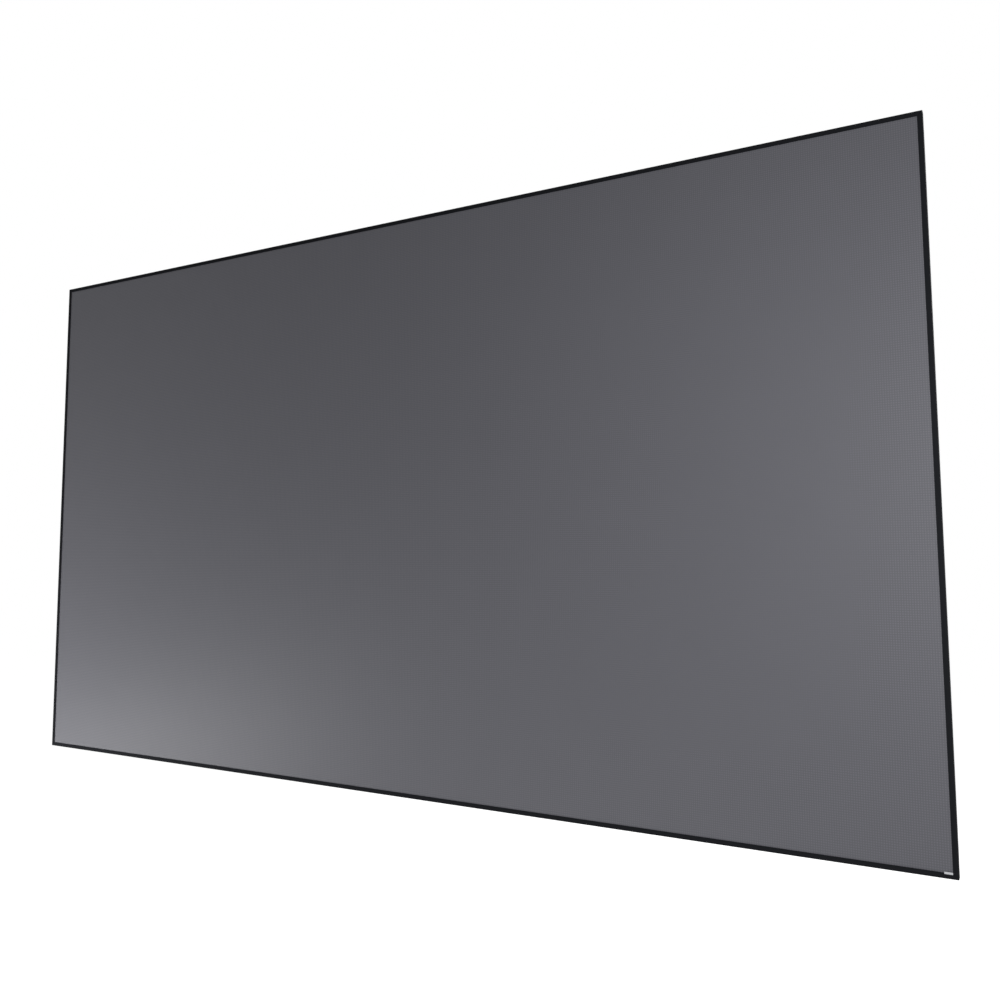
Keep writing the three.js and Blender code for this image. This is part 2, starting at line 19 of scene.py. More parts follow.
import bpy
import bmesh
import numpy as np
from mathutils import Euler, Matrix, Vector

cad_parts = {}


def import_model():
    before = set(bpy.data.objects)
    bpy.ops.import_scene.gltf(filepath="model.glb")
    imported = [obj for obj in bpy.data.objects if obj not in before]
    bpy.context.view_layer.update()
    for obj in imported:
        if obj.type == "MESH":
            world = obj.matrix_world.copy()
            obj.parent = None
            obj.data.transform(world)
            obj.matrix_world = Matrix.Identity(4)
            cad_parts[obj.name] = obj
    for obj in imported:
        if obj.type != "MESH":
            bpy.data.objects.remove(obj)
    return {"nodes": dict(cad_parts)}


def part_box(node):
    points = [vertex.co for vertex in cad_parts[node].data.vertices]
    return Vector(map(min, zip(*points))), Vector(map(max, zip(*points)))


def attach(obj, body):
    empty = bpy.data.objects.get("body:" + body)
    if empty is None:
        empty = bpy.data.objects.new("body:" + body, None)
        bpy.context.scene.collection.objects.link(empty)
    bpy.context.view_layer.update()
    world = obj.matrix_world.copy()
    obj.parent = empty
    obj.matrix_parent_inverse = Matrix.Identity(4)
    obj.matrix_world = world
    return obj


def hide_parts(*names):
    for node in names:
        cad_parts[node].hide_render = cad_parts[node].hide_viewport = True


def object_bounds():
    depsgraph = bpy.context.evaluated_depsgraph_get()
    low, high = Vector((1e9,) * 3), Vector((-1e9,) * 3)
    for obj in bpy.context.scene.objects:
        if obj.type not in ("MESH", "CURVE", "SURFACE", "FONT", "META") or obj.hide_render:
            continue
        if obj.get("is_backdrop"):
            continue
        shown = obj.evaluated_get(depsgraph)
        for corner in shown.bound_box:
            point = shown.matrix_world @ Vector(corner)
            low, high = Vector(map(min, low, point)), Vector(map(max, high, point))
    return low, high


LOG = logging.getLogger("projector_screen")
MM = 0.001
BODY = "root"
# Points nearer to each other than this are one point
SAME_POINT = 0.001 * MM
# Slow patches of colour are this many times as large as the grain
PATCH_TIMES = 60
# Rows of the picture that the camera is set for
PICTURE_ROWS = 1000
Array = np.ndarray


# Colour and node helpers


def linear(hex_colour: str) -> tuple[float, float, float, float]:
    """Turns an sRGB hex colour into linear light.

    Args:
        hex_colour: six hex digits after a hash sign.

    Returns:
        Red, green, blue and alpha. Below 0.04045 the curve is a straight line of slope 1 / 12.92, and above
        it is ((c + 0.055) / 1.055) to the power 2.4.
    """
    values = [int(hex_colour[i : i + 2], 16) / 255 for i in (1, 3, 5)]
    red, green, blue = (c / 12.92 if c <= 0.04045 else ((c + 0.055) / 1.055) ** 2.4 for c in values)
    return red, green, blue, 1.0


def add_node(
    tree: bpy.types.NodeTree,
    kind: str,
    settings: dict[str, object] | None = None,
    values: dict[str | int, object] | None = None,
    links: dict[str | int, bpy.types.NodeSocket] | None = None,
) -> bpy.types.Node:
    """Adds a node with its settings and links.

    Args:
        tree: the node tree that gets the node.
        kind: the node's type name.
        settings: the node's own options by name.
        values: input values by the input's name or number.
        links: output sockets to join, by the input's name or number.

    Returns:
        The new node.
    """
    node = tree.nodes.new(kind)
    for name, value in (settings or {}).items():
        setattr(node, name, value)
    for key, value in (values or {}).items():
        node.inputs[key].default_value = value
    for key, socket in (links or {}).items():
        tree.links.new(socket, node.inputs[key])
    return node


def band_scale(pitch_mm: float) -> float:
    """Scale of a wave texture whose bands repeat every pitch: bands repeat every 2 pi / 20 / scale metres."""
    return 2 * math.pi / 20 / (pitch_mm * MM)


def noise_scale(grain_mm: float) -> float:
    """Scale of a noise texture whose grains are about this size: one over the size in metres."""
    return 1 / (grain_mm * MM)


def crossed_waves(
    tree: bpy.types.NodeTree, place: bpy.types.NodeSocket, pitch_mm: float, wander: float, joined_by: str
) -> bpy.types.NodeSocket:
    """Two rounded waves from 0 to 1 that run across each other, one along X and one along Z.

    Args:
        tree: the node tree that gets the waves.
        place: where on the object, in metres.
        pitch_mm: spacing of the waves.
        wander: how far they stray from straight.
        joined_by: the sum that joins them, such as MAXIMUM for threads and MULTIPLY for cells.

    Returns:
        The joined height.
    """
    waves = [
        add_node(
            tree,
            "ShaderNodeTexWave",
            {"wave_type": "BANDS", "bands_direction": way, "wave_profile": "SIN"},
            values={"Scale": band_scale(pitch_mm), "Distortion": wander, "Detail": 1.0},
            links={"Vector": place},
        )
        for way in ("X", "Z")
    ]
    both = add_node(
        tree,
        "ShaderNodeMath",
        {"operation": joined_by},
        links={0: waves[0].outputs["Fac"], 1: waves[1].outputs["Fac"]},
    )
    return both.outputs[0]


class Grain(Enum):
    """The way that lines left by drawing or brushing run on a metal piece."""

    ALONG_X = (0.02, 1.0, 1.0)
    ALONG_Z = (1.0, 1.0, 0.02)
    NONE = (1.0, 1.0, 1.0)


# Finishes


@dataclass(frozen=True)
class Finish:
    """A surface finish: the material, how it was made and what it does to light.

    Attributes:
        name: plain name of the material and process.
        colour: sRGB hex colour.
        roughness: microfacet roughness.
        metallic: 1 for bare metal and 0 for plastic or cloth.
        grain_mm: real size of the surface's grain.
        depth_mm: height of the grain.
        colour_change: share by which the colour varies from place to place.
        roughness_change: amount by which the roughness varies from place to place.
        patch_share: weight of the slow patches of colour beside the grain, which has a weight of 1.
        grain: the way that the grain is drawn out.
    """

    name: str
    colour: str
    roughness: float
    metallic: float = 0.0
    grain_mm: float = 1.0
    depth_mm: float = 0.02
    colour_change: float = 0.08
    roughness_change: float = 0.08
    patch_share: float = 1.0
    grain: Grain = Grain.NONE

    def build(self) -> bpy.types.Material:
        """Makes the material: a grain noise drives colour, roughness and bump of one principled shader."""
        material = bpy.data.materials.new(self.name)
        material.use_nodes = True
        tree = material.node_tree
        tree.nodes.clear()
        grain = self.grain_height(tree)
        shader = add_node(
            tree,
            "ShaderNodeBsdfPrincipled",
            values={"Metallic": self.metallic, **self.constants()},
            links={
                "Base Color": self.colour_socket(tree, grain),
                "Roughness": self.roughness_socket(tree, grain),
                "Normal": self.normal_socket(tree, grain),
            },
        )
        add_node(tree, "ShaderNodeOutputMaterial", links={"Surface": shader.outputs[0]})
        return material

    def constants(self) -> dict[str, object]:
        """Values that are the same all over the surface, set on the shader's own sockets."""
        return {}

    def position(self, tree: bpy.types.NodeTree) -> bpy.types.NodeSocket:
        """The place on the object in metres, squeezed along the grain so that the pattern is drawn out."""
        place = add_node(tree, "ShaderNodeTexCoord").outputs["Object"]
        mapping = add_node(
            tree, "ShaderNodeMapping", values={"Scale": self.grain.value}, links={"Vector": place}
        )
        return mapping.outputs[0]

    def grain_height(self, tree: bpy.types.NodeTree) -> bpy.types.NodeSocket:
        """Fractal noise from 0 to 1 whose grains have the finish's real size."""
        noise = add_node(
            tree,
            "ShaderNodeTexNoise",
            values={"Scale": noise_scale(self.grain_mm), "Detail": 4.0, "Roughness": 0.6},
            links={"Vector": self.position(tree)},
        )
        return noise.outputs[0]

    def blotches(self, tree: bpy.types.NodeTree) -> bpy.types.NodeSocket:
        """Slow noise from 0 to 1 in patches much larger than the grain."""
        patches = add_node(
            tree,
            "ShaderNodeTexNoise",
            values={"Scale": noise_scale(PATCH_TIMES * self.grain_mm), "Detail": 3.0},
            links={"Vector": self.position(tree)},
        )
        return patches.outputs[0]

    def colour_socket(
        self, tree: bpy.types.NodeTree, grain: bpy.types.NodeSocket
    ) -> bpy.types.NodeSocket:
        """The colour, brightened and darkened by the grain and the slow patches.

        Its brightness goes from 1 - change to 1 + change as grain + share x patches goes from 0 to 1 + share.
        """
        both = add_node(
            tree,
            "ShaderNodeMath",
            {"operation": "MULTIPLY_ADD"},
            values={1: self.patch_share},
            links={0: self.blotches(tree), 2: grain},
        )
        span = add_node(
            tree,
            "ShaderNodeMapRange",
            values={
                "From Max": 1 + self.patch_share,
                "To Min": 1 - self.colour_change,
                "To Max": 1 + self.colour_change,
            },
            links={"Value": both.outputs[0]},
        )
        tone = add_node(
            tree,
            "ShaderNodeHueSaturation",
            values={"Color": linear(self.colour)},
            links={"Value": span.outputs[0]},
        )
        return tone.outputs[0]

    def roughness_socket(
        self, tree: bpy.types.NodeTree, grain: bpy.types.NodeSocket
    ) -> bpy.types.NodeSocket:
        """The roughness, higher where the grain stands up."""
        span = add_node(
            tree,
            "ShaderNodeMapRange",
            values={
                "To Min": max(self.roughness - self.roughness_change, 0.02),
                "To Max": self.roughness + self.roughness_change,
            },
            links={"Value": grain},
        )
        return span.outputs[0]

    def normal_socket(
        self, tree: bpy.types.NodeTree, grain: bpy.types.NodeSocket
    ) -> bpy.types.NodeSocket:
        """The surface normal, tilted by the slope of the grain."""
        bump = add_node(
            tree,
            "ShaderNodeBump",
            values={"Strength": 1.0, "Distance": self.depth_mm * MM},
            links={"Height": grain},
        )
        return bump.outputs[0]


@dataclass(frozen=True)
class CoatedCloth(Finish):
    """Coated projection cloth: a vinyl film embossed with a lattice of tiny cells, so it has a soft sheen.

    Attributes:
        cell_mm: spacing of the cells. The real ones are about 0.5 mm, too fine to show, so they are drawn
            coarser.
        cell_share: share of the height that the cells take, the rest being the grain of the film.
    """

    cell_mm: float = 4.0
    cell_share: float = 0.8

    def constants(self) -> dict[str, object]:
        """Vinyl's gloss, held back by its fine emboss, and a faint sheen."""
        return {"IOR": 1.46, "Specular IOR Level": 0.2, "Sheen Weight": 0.02, "Sheen Roughness": 0.5}

    def grain_height(self, tree: bpy.types.NodeTree) -> bpy.types.NodeSocket:
        """Cells mixed with the grain of the film: share of the cells' height plus the rest of the noise."""
        cells = crossed_waves(tree, self.position(tree), self.cell_mm, 0.4, "MULTIPLY")
        mixed = add_node(
            tree,
            "ShaderNodeMix",
            {"data_type": "FLOAT"},
            values={0: self.cell_share},
            links={2: super().grain_height(tree), 3: cells},
        )
        return mixed.outputs[0]


@dataclass(frozen=True)
class WovenBacking(Finish):
    """Woven scrim behind the cloth: crossing threads, dull and dark.

    Attributes:
        thread_mm: thread spacing. The real one is about 0.6 mm, and it is drawn coarser so that it shows.
    """

    thread_mm: float = 2.4

    def grain_height(self, tree: bpy.types.NodeTree) -> bpy.types.NodeSocket:
        """Threads along X and along Z: the higher of two rounded waves at right angles."""
        return crossed_waves(tree, self.position(tree), self.thread_mm, 0.6, "MAXIMUM")


@dataclass(frozen=True)
class CoatedMetal(Finish):
    """Metal under a dyed skin, such as an anodised layer.

    Attributes:
        gloss: level of the skin's gloss, where 0.5 is that of a smooth skin and less is an etched one.
    """

    gloss: float = 0.2

    def constants(self) -> dict[str, object]:
        """The dyed skin hides the metal, so all that shows is its colour and its etched gloss."""
        return {"IOR": 1.6, "Specular IOR Level": self.gloss}


# Coated vinyl, calendered and embossed: an even satin grey that brightens slowly towards a grazing view
CLOTH_FRONT = CoatedCloth(
    "coated_vinyl_projection_cloth", "#65656b", 0.5, grain_mm=1.6, depth_mm=0.04, colour_change=0.22,
    roughness_change=0.05, patch_share=0.1,
)
# Woven polyester scrim, dyed: a dull near-black with a visible square weave
CLOTH_BACK = WovenBacking(
    "woven_polyester_backing", "#2a2a2c", 0.85, grain_mm=2.4, depth_mm=0.15, colour_change=0.25
)
# Deep matte black coat on extruded aluminium: swallows light, with faint lines along the length
TRIM_LEVEL = CoatedMetal(
    "matte_black_coated_trim_level", "#1e1f22", 0.6, grain_mm=0.8, depth_mm=0.01, colour_change=0.15,
    grain=Grain.ALONG_X, gloss=0.01,
)
TRIM_UPRIGHT = CoatedMetal(
    "matte_black_coated_trim_upright", "#1e1f22", 0.6, grain_mm=0.8, depth_mm=0.01, colour_change=0.15,
    grain=Grain.ALONG_Z, gloss=0.01,
)
# Black anodised aluminium, extruded and satin etched: dark grey sheen with faint lines along the length
BAR_LEVEL = CoatedMetal(
    "black_anodised_bar_level", "#1f2024", 0.45, grain_mm=1.2, depth_mm=0.015, colour_change=0.14,
    grain=Grain.ALONG_X, gloss=0.4,
)
BAR_UPRIGHT = CoatedMetal(
    "black_anodised_bar_upright", "#1f2024", 0.45, grain_mm=1.2, depth_mm=0.015, colour_change=0.14,
    grain=Grain.ALONG_Z, gloss=0.4,
)
# Zinc plated steel, pressed: bright bluish silver with soft cloudy patches
ZINC = Finish(
    "zinc_plated_pressed_steel", "#a3a8ae", 0.42, 1.0, grain_mm=0.9, depth_mm=0.02, colour_change=0.12
)
# Black oxide steel, forged: nearly black with an oily satin gloss
BLACK_OXIDE = Finish("black_oxide_forged_steel", "#2e2f33", 0.4, 1.0, grain_mm=0.4, depth_mm=0.01)
# Nickel plated spring wire, cold drawn: bright with a slight warm tint
SPRING_WIRE = Finish("nickel_plated_spring_wire", "#c3c1bb", 0.28, 1.0, grain_mm=0.5, depth_mm=0.01)
# Glass fibre rod, pultruded: milky white with fine fibres along its length
FIBRE_ROD_LEVEL = Finish(
    "pultruded_glass_fibre_level", "#d9d9cf", 0.38, grain_mm=0.3, depth_mm=0.02, grain=Grain.ALONG_X
)
FIBRE_ROD_UPRIGHT = Finish(
    "pultruded_glass_fibre_upright", "#d9d9cf", 0.38, grain_mm=0.3, depth_mm=0.02, grain=Grain.ALONG_Z
)
# Mill finish aluminium, extruded: pale grey with die lines along the tube
MILL_TUBE = Finish(
    "mill_finish_extruded_aluminium", "#aeb0b4", 0.36, 1.0, grain_mm=1.0, depth_mm=0.02, grain=Grain.ALONG_Z
)
# Black nylon, injection moulded against a spark-eroded tool: dull with a fine even grain
NYLON = Finish("moulded_black_nylon", "#18191b", 0.58, grain_mm=0.7, depth_mm=0.04)
# Black rubber, compression moulded: very dull and slightly dusty
RUBBER = Finish("moulded_black_rubber", "#1a1a1a", 0.85, grain_mm=1.2, depth_mm=0.05, colour_change=0.2)
# Satin aluminium plate, brushed along its length: soft silver streaks
SILVER_PLATE = Finish(
    "brushed_satin_aluminium_plate", "#a6a7aa", 0.38, 1.0, grain_mm=0.25, depth_mm=0.01, grain=Grain.ALONG_X
)


# Mesh helpers


@dataclass
class Surface:
    """Points and faces of a surface under construction.

    Attributes:
        points: one row of three numbers for each point.
        faces: four point numbers for each face.
        caps: rings of point numbers that close an end.
    """

    points: Array
    faces: Array
    caps: list[list[int]] = field(default_factory=list)

    def repeated(self, offsets: Array) -> Surface:
        """Copies of the surface: every point plus every offset.

        Args:
            offsets: one row of three numbers for each copy.

        Returns:
            One surface with all the copies.
        """
        count = len(self.points)
        shifts = np.arange(len(offsets)) * count
        points = (self.points[None] + offsets[:, None]).reshape(-1, 3)
        faces = (self.faces[None] + shifts[:, None, None]).reshape(-1, 4)
        caps = [[i + int(shift) for i in cap] for shift in shifts for cap in self.caps]
        return Surface(points, faces, caps)

    def joined(self, others: Sequence[Surface]) -> Surface:
        """This surface and the others in one, with their point numbers moved on."""
        points, faces, caps, count = [self.points], [self.faces], list(self.caps), len(self.points)
        for other in others:
            points.append(other.points)
            faces.append(other.faces + count)
            caps += [[i + count for i in cap] for cap in other.caps]
            count += len(other.points)
        return Surface(np.concatenate(points), np.concatenate(faces), caps)


def grid_faces(rows: int, columns: int, ring: bool = False) -> Array:
    """Faces of a grid of points stored row by row.

    Args:
        rows: number of rows.
        columns: number of points in a row.
        ring: whether the last point of a row joins the first.

    Returns:
        Four point numbers for each face: (i, j), (i, j + 1), (i + 1, j + 1), (i + 1, j).
    """
    i, j = np.meshgrid(np.arange(rows - 1), np.arange(columns if ring else columns - 1), indexing="ij")
    following = (j + 1) % columns
    corners = [i * columns + j, i * columns + following, (i + 1) * columns + following, (i + 1) * columns + j]
    return np.stack(corners, axis=-1).reshape(-1, 4)


def tube(path: Array, radius: float, sides: int, reference: Array) -> Surface:
    """A round tube along a path.

    Args:
        path: the points that it follows.
        radius: radius of the tube.
        sides: number of faces round it.
        reference: a direction that is never along the path.

    Returns:
        Rings of points: path + radius (cos a N + sin a B), where N is the reference made square to the
        path's direction T, and B is T cross N.
    """
    along = np.gradient(path, axis=0)
    along /= np.linalg.norm(along, axis=1, keepdims=True)
    normal = reference - (along @ reference)[:, None] * along
    normal /= np.linalg.norm(normal, axis=1, keepdims=True)
    side = np.cross(along, normal)
    angle = np.arange(sides) * 2 * np.pi / sides
    rings = path[:, None] + radius * (
        np.cos(angle)[None, :, None] * normal[:, None] + np.sin(angle)[None, :, None] * side[:, None]
    )
    last = (len(path) - 1) * sides
    caps = [list(range(sides))[::-1], list(range(last, last + sides))]
    return Surface(rings.reshape(-1, 3), grid_faces(len(path), sides, ring=True), caps)


def arc_points(centre: tuple[float, float], radius: float, start: float, stop: float, steps: int) -> Array:
    """Points (u, v) on a circle: centre + radius (cos a, sin a), for angles from start to stop in degrees."""
    angle = np.radians(np.linspace(start, stop, steps + 1))
    return np.stack([centre[0] + radius * np.cos(angle), centre[1] + radius * np.sin(angle)], axis=-1)


def make_object(
    name: str, surface: Surface, finishes: Sequence[bpy.types.Material], smooth_angle: float = 40.0
) -> bpy.types.Object:
    """Puts a surface into a new object at the origin.

    Args:
        name: the object's name.
        surface: its points and faces.
        finishes: its materials.
        smooth_angle: edges sharper than this many degrees stay sharp.

    Returns:
        The object, with doubled points merged and its faces pointing outwards where it is closed.
    """
    mesh = bpy.data.meshes.new(name)
    mesh.from_pydata(surface.points.tolist(), [], surface.faces.tolist() + surface.caps)
    work = bmesh.new()
    work.from_mesh(mesh)
    bmesh.ops.remove_doubles(work, verts=work.verts, dist=SAME_POINT)
    if all(edge.is_manifold for edge in work.edges):
        bmesh.ops.recalc_face_normals(work, faces=work.faces)
    work.to_mesh(mesh)
    work.free()
    mesh.shade_smooth()
    mesh.set_sharp_from_angle(angle=math.radians(smooth_angle))
    for finish in finishes:
        mesh.materials.append(finish)
    made = bpy.data.objects.new(name, mesh)
    bpy.context.scene.collection.objects.link(made)
    return made


# The screen's own frame of reference


@dataclass(frozen=True)
class Section:
    """Cross section of a side, in millimetres: u runs in from the bar's outer face and v back from the cloth.

    Attributes:
        cloth_mm: thickness of the cloth.
        gap_mm: clearance between pieces that rest on each other.
        nose_mm: radius of the bar's front edge.
        tip_mm: radius of the back edge of the bar's outer wall.
        groove_start_mm: depth at which the groove for the trim's barb starts.
        groove_end_mm: depth at which it ends.
        groove_depth_mm: how far it goes in.
        rod_mm: radius of the tension rod.
        rod_u_mm: how far in the rod lies.
        rod_v_mm: how deep the rod lies.
        wall_v_mm: depth of the outer wall's back edge.
        bend_mm: size of the cloth's bends at the groove.
        cut_mm: how much deeper the back of the hem lies than the edge of the flap where it is cut back.
        tail_bend_mm: how far in and how far forward of the loop the tail of the hem starts to lie flat.
        tail_mm: length of the tail.
    """

    rod_u_mm: float
    rod_v_mm: float
    wall_v_mm: float
    cloth_mm: float = 0.5
    gap_mm: float = 0.3
    nose_mm: float = 2.5
    tip_mm: float = 0.9
    groove_start_mm: float = 9.1
    groove_end_mm: float = 12.9
    groove_depth_mm: float = 1.7
    rod_mm: float = 2.0
    bend_mm: float = 0.4
    cut_mm: float = 0.2
    tail_bend_mm: tuple[float, float] = (0.5, 0.4)
    tail_mm: float = 2.2

    @property
    def stand_mm(self) -> float:
        """Distance from a bar's face to the middle of the cloth on it."""
        return self.gap_mm + self.cloth_mm / 2

    def wrap(self) -> Array:
        """The middle of the cloth from the front edge round the bar to the hem.

        Returns:
            Points (u, v): a quarter circle over the nose, straight down the outside, a rounded dip into the
            groove under the barb, and a half circle over the back edge of the outer wall.
        """
        stand = self.stand_mm
        nose = (self.nose_mm, self.cloth_mm + self.gap_mm + self.nose_mm)
        tip = (self.tip_mm, self.wall_v_mm - self.tip_mm)
        floor = self.groove_depth_mm - stand
        start, end = self.groove_start_mm + stand, self.groove_end_mm - stand
        bend = self.bend_mm
        return np.concatenate([
            arc_points(nose, self.nose_mm + stand, 270, 180, 8),
            [(-stand, start - bend), (-stand + bend, start), (floor - bend, start), (floor, start + bend)],
            [(floor, end - bend), (floor - bend, end), (-stand + bend, end), (-stand, end + bend)],
            arc_points(tip, self.tip_mm + stand, 180, 95, 6),
        ])

    def hem(self) -> Array:
        """The middle of the cloth round the rod, from the flap to the welded end under it.

        Returns:
            Points (u, v): straight to the back of the rod, three quarters of a circle round it, and a short
            tail that lies along the inside of the flap.
        """
        radius = self.rod_mm + self.stand_mm
        loop = arc_points((self.rod_u_mm, self.rod_v_mm), radius, 90, -170, 16)
        tail_v = self.rod_v_mm + radius - self.cloth_mm
        tail_u = self.rod_u_mm - radius
        bend_u, bend_v = self.tail_bend_mm
        return np.concatenate([loop, [(tail_u - bend_u, tail_v - bend_v), (tail_u - self.tail_mm, tail_v)]])

    def cut_back(self) -> Array:
        """The last point (u, v) of the flap where a notch leaves room for a spring."""
        radius = self.rod_mm + self.stand_mm
        return np.array([(self.rod_u_mm - radius - self.gap_mm, self.rod_v_mm + radius - self.cut_mm)])


@dataclass(frozen=True)
class Side:
    """One side of the screen: x runs along it, u in from the bar's outer face and v back from the cloth.

    Attributes:
        name: top, right, bottom or left.
        turn: the side's turn about Y, in quarter turns.
        half: half its length.
        out: its distance from the middle of the screen.
        front: where the front of the cloth lies along Y.
        runs: names of the lengths of bar that make it up.
    """

    name: str
    turn: int
    half: float
    out: float
    front: float
    runs: tuple[str, ...]

    @property
    def level(self) -> bool:
        """Whether the side runs from left to right."""
        return self.turn % 2 == 0

    def place(self, points: Array) -> Array:
        """Points of the side's frame in the frame of the screen.

        Args:
            points: rows of x, u and v in metres.

        Returns:
            Rows of X, Y and Z: (x cos t + r sin t, front + v, r cos t - x sin t), where t is the side's turn
            and r is its distance out less u.
        """
        angle = self.turn * math.pi / 2
        cosine, sine = round(math.cos(angle)), round(math.sin(angle))
        x, r, v = points[..., 0], self.out - points[..., 1], points[..., 2]
        return np.stack([x * cosine + r * sine, self.front + v, r * cosine - x * sine], axis=-1)

    def spring_places(self, end: float, pitch: float) -> Array:
        """The x of each spring: evenly spread between the ends, as many to each run."""
        reach = self.half - end
        runs = len(self.runs)
        count = runs * max(2, round(2 * reach / pitch / runs))
        return np.linspace(-reach, reach, count)


@dataclass(frozen=True)
class Screen:
    """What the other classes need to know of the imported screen.

    Attributes:
        sides: the four sides.
        section: their cross section.
        spring_end: distance from a corner to the first spring.
        spring_pitch: spacing that the springs aim at.
    """

    sides: tuple[Side, ...]
    section: Section
    spring_end: float = 63 * MM
    spring_pitch: float = 140 * MM

    @classmethod
    def from_frame(cls) -> Screen:
        """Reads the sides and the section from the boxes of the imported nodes."""
        bar_left, bar_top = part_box("frame_bar_left"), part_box("frame_bar_top_left")
        cloth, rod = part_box("screen_cloth"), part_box("tension_rod_left")
        half_width, half_height, front = -bar_left[0].x, bar_top[1].z, cloth[0].y
        rod_mm = Section.rod_mm
        rod_u = (rod[0].x + half_width) / MM + rod_mm
        rod_v = ((rod[0].y + rod[1].y) / 2 - front) / MM
        section = Section(rod_u, rod_v, wall_v_mm=rod_v + Section.tip_mm)
        long, short = (half_width, half_height, front), (half_height, half_width, front)
        return cls(
            (
                Side("top", 0, *long, ("top_left", "top_right")),
                Side("right", 1, *short, ("right",)),
                Side("bottom", 2, *long, ("bottom_right", "bottom_left")),
                Side("left", 3, *short, ("left",)),
            ),
            section,
        )

    def springs_of(self, side: Side) -> Array:
        """The x of each spring along a side."""
        return side.spring_places(self.spring_end, self.spring_pitch)


# Sub-assemblies


@dataclass
class ProjectionCloth:
    """The grey cloth: a flat front and four flaps that wrap round the bars and end in notched hems.

    Attributes:
        screen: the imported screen.
        flap_end: distance from a corner at which a flap stops.
        notch_half: half the width of the notch at a spring.
        step: largest distance between points of the front.
        hold: width of the strip inside the round edge that keeps the shading of the front flat.
    """

    screen: Screen
    flap_end: float = 20 * MM
    notch_half: float = 6 * MM
    step: float = 45 * MM
    hold: float = 1 * MM

    def fixed_lines(self, side: Side) -> Array:
        """Places along a side where the flap starts, each notch starts and stops, and the flap stops."""
        end = side.half - self.flap_end
        notches = self.screen.springs_of(side)[:, None] + np.array([-1, 1]) * self.notch_half
        return np.concatenate([[-end], notches.ravel(), [end]])

    def columns(self, side: Side) -> Array:
        """Places along a side where the grid has a line: the fixed ones and evenly spread ones between."""
        fixed = self.fixed_lines(side)
        between = [
            np.linspace(a, b, max(2, math.ceil((b - a) / self.step) + 1))[:-1]
            for a, b in zip(fixed, fixed[1:])
        ]
        return np.concatenate([*between, fixed[-1:]])

    def front_lines(self, side: Side) -> Array:
        """Places along a side where the front has a line: the flap's own, and two near each end."""
        end = side.half - self.screen.section.nose_mm * MM
        return np.concatenate([[-end, self.hold - end], self.columns(side), [end - self.hold, end]])

    def flat_front(self) -> Surface:
        """The front of the cloth: a flat grid over X and Z at the middle of the cloth's thickness."""
        top, right = self.screen.sides[0], self.screen.sides[1]
        across, up = self.front_lines(top), self.front_lines(right)
        z, x = np.meshgrid(up, across, indexing="ij")
        y = np.full_like(x, top.front + self.screen.section.cloth_mm * MM / 2)
        points = np.stack([x, y, z], axis=-1).reshape(-1, 3)
        return Surface(points, grid_faces(len(up), len(across)))

    def flap(self, side: Side) -> Surface:
        """One flap: the wrap carried along the side, and the hem carried between the notches."""
        section = self.screen.section
        x = self.columns(side)
        wrap = np.concatenate([section.wrap(), section.cut_back()]) * MM
        parts = [self.carried(side, x, wrap)]
        limits = self.fixed_lines(side)
        hem = np.concatenate([section.cut_back(), section.hem()]) * MM
        for start, stop in zip(limits[::2], limits[1::2]):
            inside = x[(x > start - SAME_POINT) & (x < stop + SAME_POINT)]
            parts.append(self.carried(side, inside, hem))
        return parts[0].joined(parts[1:])

    @staticmethod
    def carried(side: Side, x: Array, line: Array) -> Surface:
        """A line of (u, v) points carried along x: every x with every point of the line."""
        grid = np.zeros((len(line), len(x), 3))
        grid[..., 0] = x[None]
        grid[..., 1:] = line[:, None]
        return Surface(side.place(grid).reshape(-1, 3), grid_faces(len(line), len(x)))

    def flat_size(self) -> tuple[float, float, float]:
        """Width and height of the flat cut, and its area without the four corner squares."""
        section = self.screen.section
        line = np.concatenate([section.wrap(), section.cut_back(), section.hem()]) * MM
        flap = float(np.linalg.norm(np.diff(line, axis=0), axis=1).sum())
        edge = section.nose_mm * MM
        top = self.screen.sides[0]
        width, height = 2 * (top.half - edge + flap), 2 * (top.out - edge + flap)
        corner = flap * (flap + self.flap_end - edge)
        return width, height, width * height - 8 * corner + 4 * flap * flap

    def build(self) -> bpy.types.Object:
        surface = self.flat_front().joined([self.flap(side) for side in self.screen.sides])
        finishes = [CLOTH_FRONT.build(), CLOTH_BACK.build()]
        piece = make_object("projection_cloth", surface, finishes, smooth_angle=60)
        thicken = piece.modifiers.new("cloth_thickness", "SOLIDIFY")
        thicken.thickness = self.screen.section.cloth_mm * MM
        thicken.offset = 0.0
        thicken.use_quality_normals = True
        thicken.material_offset = 1
        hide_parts("screen_cloth")
        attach(piece, BODY)
        width, height, area = self.flat_size()
        LOG.info("cloth cut flat to %.4f x %.4f m, %.4f square metres", width, height, area)
        return piece


